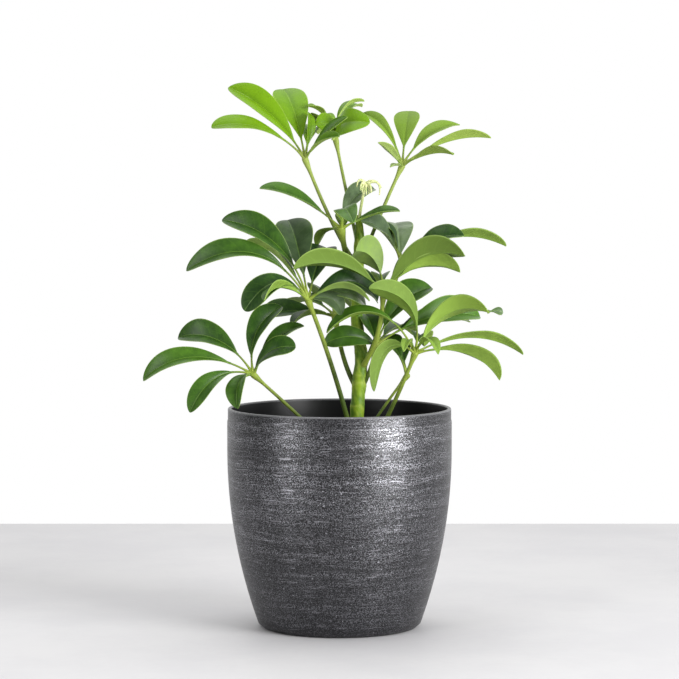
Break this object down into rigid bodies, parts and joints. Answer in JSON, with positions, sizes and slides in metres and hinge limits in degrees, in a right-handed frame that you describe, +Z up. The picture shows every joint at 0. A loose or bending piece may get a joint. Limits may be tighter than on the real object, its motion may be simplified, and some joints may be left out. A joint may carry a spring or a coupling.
{
  "type": "potted umbrella plant",
  "caption": "Young dwarf umbrella plant: a stem with palmate fronds and a bud, in soil, in a thin growing pot inside a dark brushed plastic outer pot.",
  "frame": {"origin": "middle of the outer pot's flat base", "axes": "+Z up along the plant, -Y towards the side that the picture shows, +X to that view's right"},
  "size_m": [0.2351, 0.1422, 0.3393],
  "materials": {
    "pot_plastic": "charcoal plastic with fine silvery brushed streaks round the wall",
    "growing_plastic": "thin black nursery pot plastic",
    "soil": "moist bark and peat potting soil, rough",
    "stem": "green half-woody stem, satin",
    "young_leaf": "young leaf, bright yellow-green, waxy",
    "leaf": "leaf, dark glossy green above, pale and matte below",
    "bud": "unopened leaflets, pale yellow-green"
  },
  "bodies": {
    "root": {"cachepot": "pot_plastic", "growing_pot": "growing_plastic", "soil": "soil", "main_stem": "stem", "bud": "bud", "frond_01_top_left": "young_leaf", "frond_02_top_middle": "young_leaf", "frond_03_top_right": "young_leaf", "frond_04_upper_middle": "leaf", "frond_05_middle_left": "leaf", "frond_06_right_back": "leaf", "frond_07_right_front": "leaf", "frond_08_low_right": "leaf", "frond_09_middle_low": "leaf", "frond_10_left_back": "leaf", "frond_11_low_left": "leaf", "frond_12_low_back": "leaf"}
  },
  "joints": []
}
